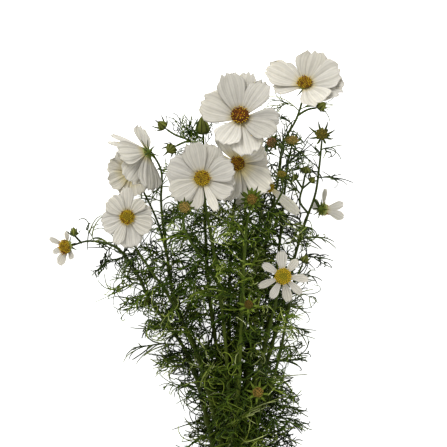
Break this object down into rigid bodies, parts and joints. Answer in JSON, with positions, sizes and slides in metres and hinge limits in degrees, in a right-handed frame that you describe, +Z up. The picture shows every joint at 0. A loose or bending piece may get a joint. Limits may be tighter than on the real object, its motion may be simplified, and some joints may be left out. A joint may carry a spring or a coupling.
{
  "type": "cosmos flower bunch",
  "caption": "Lying bunch of cut white cosmos: single blooms, buds and seed heads on thin leafy stems held by a rubber band.",
  "frame": {"origin": "on the surface that the bunch lies on, under the middle of its bounding box", "axes": "+Y along the stems towards the blooms, +X to the right and +Z up, as seen by someone who looks straight down on the lying bunch"},
  "size_m": [0.303, 0.5344, 0.1257],
  "materials": {
    "green": "fresh green stems, bracts and thread-like leaves, satin",
    "petal": "matt white petal",
    "disc": "matt yellow florets",
    "seed": "matt dry tan and brown",
    "band": "smooth tan rubber"
  },
  "bodies": {
    "root": {"stem_far_left": "green", "stem_left": "green", "stem_nodding": "green", "stem_spray": "green", "stem_middle": "green", "stem_upper": "green", "stem_behind": "green", "stem_low": "green", "stem_top": "green", "stem_seed": "green", "stem_right": "green", "stem_front": "green", "stem_high": "green", "stem_outer": "green", "bloom_top_petals": "petal", "bloom_top_disc": "disc", "bloom_upper_petals": "petal", "bloom_upper_disc": "disc", "bloom_middle_petals": "petal", "bloom_middle_disc": "disc", "bloom_left_petals": "petal", "bloom_left_disc": "disc", "bloom_nodding_petals": "petal", "bloom_nodding_disc": "disc", "bloom_hidden_petals": "petal", "bloom_hidden_disc": "disc", "bloom_behind_petals": "petal", "bloom_behind_disc": "disc", "bloom_low_petals": "petal", "bloom_low_disc": "disc", "bloom_front_petals": "petal", "bloom_front_disc": "disc", "bloom_far_left_petals": "petal", "bloom_far_left_disc": "disc", "bloom_right_petals": "petal", "bloom_right_disc": "disc", "seed_head_upper": "seed", "seed_head_right": "seed", "seed_head_high": "seed", "seed_head_left": "seed", "seed_head_middle": "seed", "seed_head_pink": "seed", "seed_head_centre": "seed", "seed_head_foot": "seed", "rubber_band": "band"}
  },
  "joints": []
}
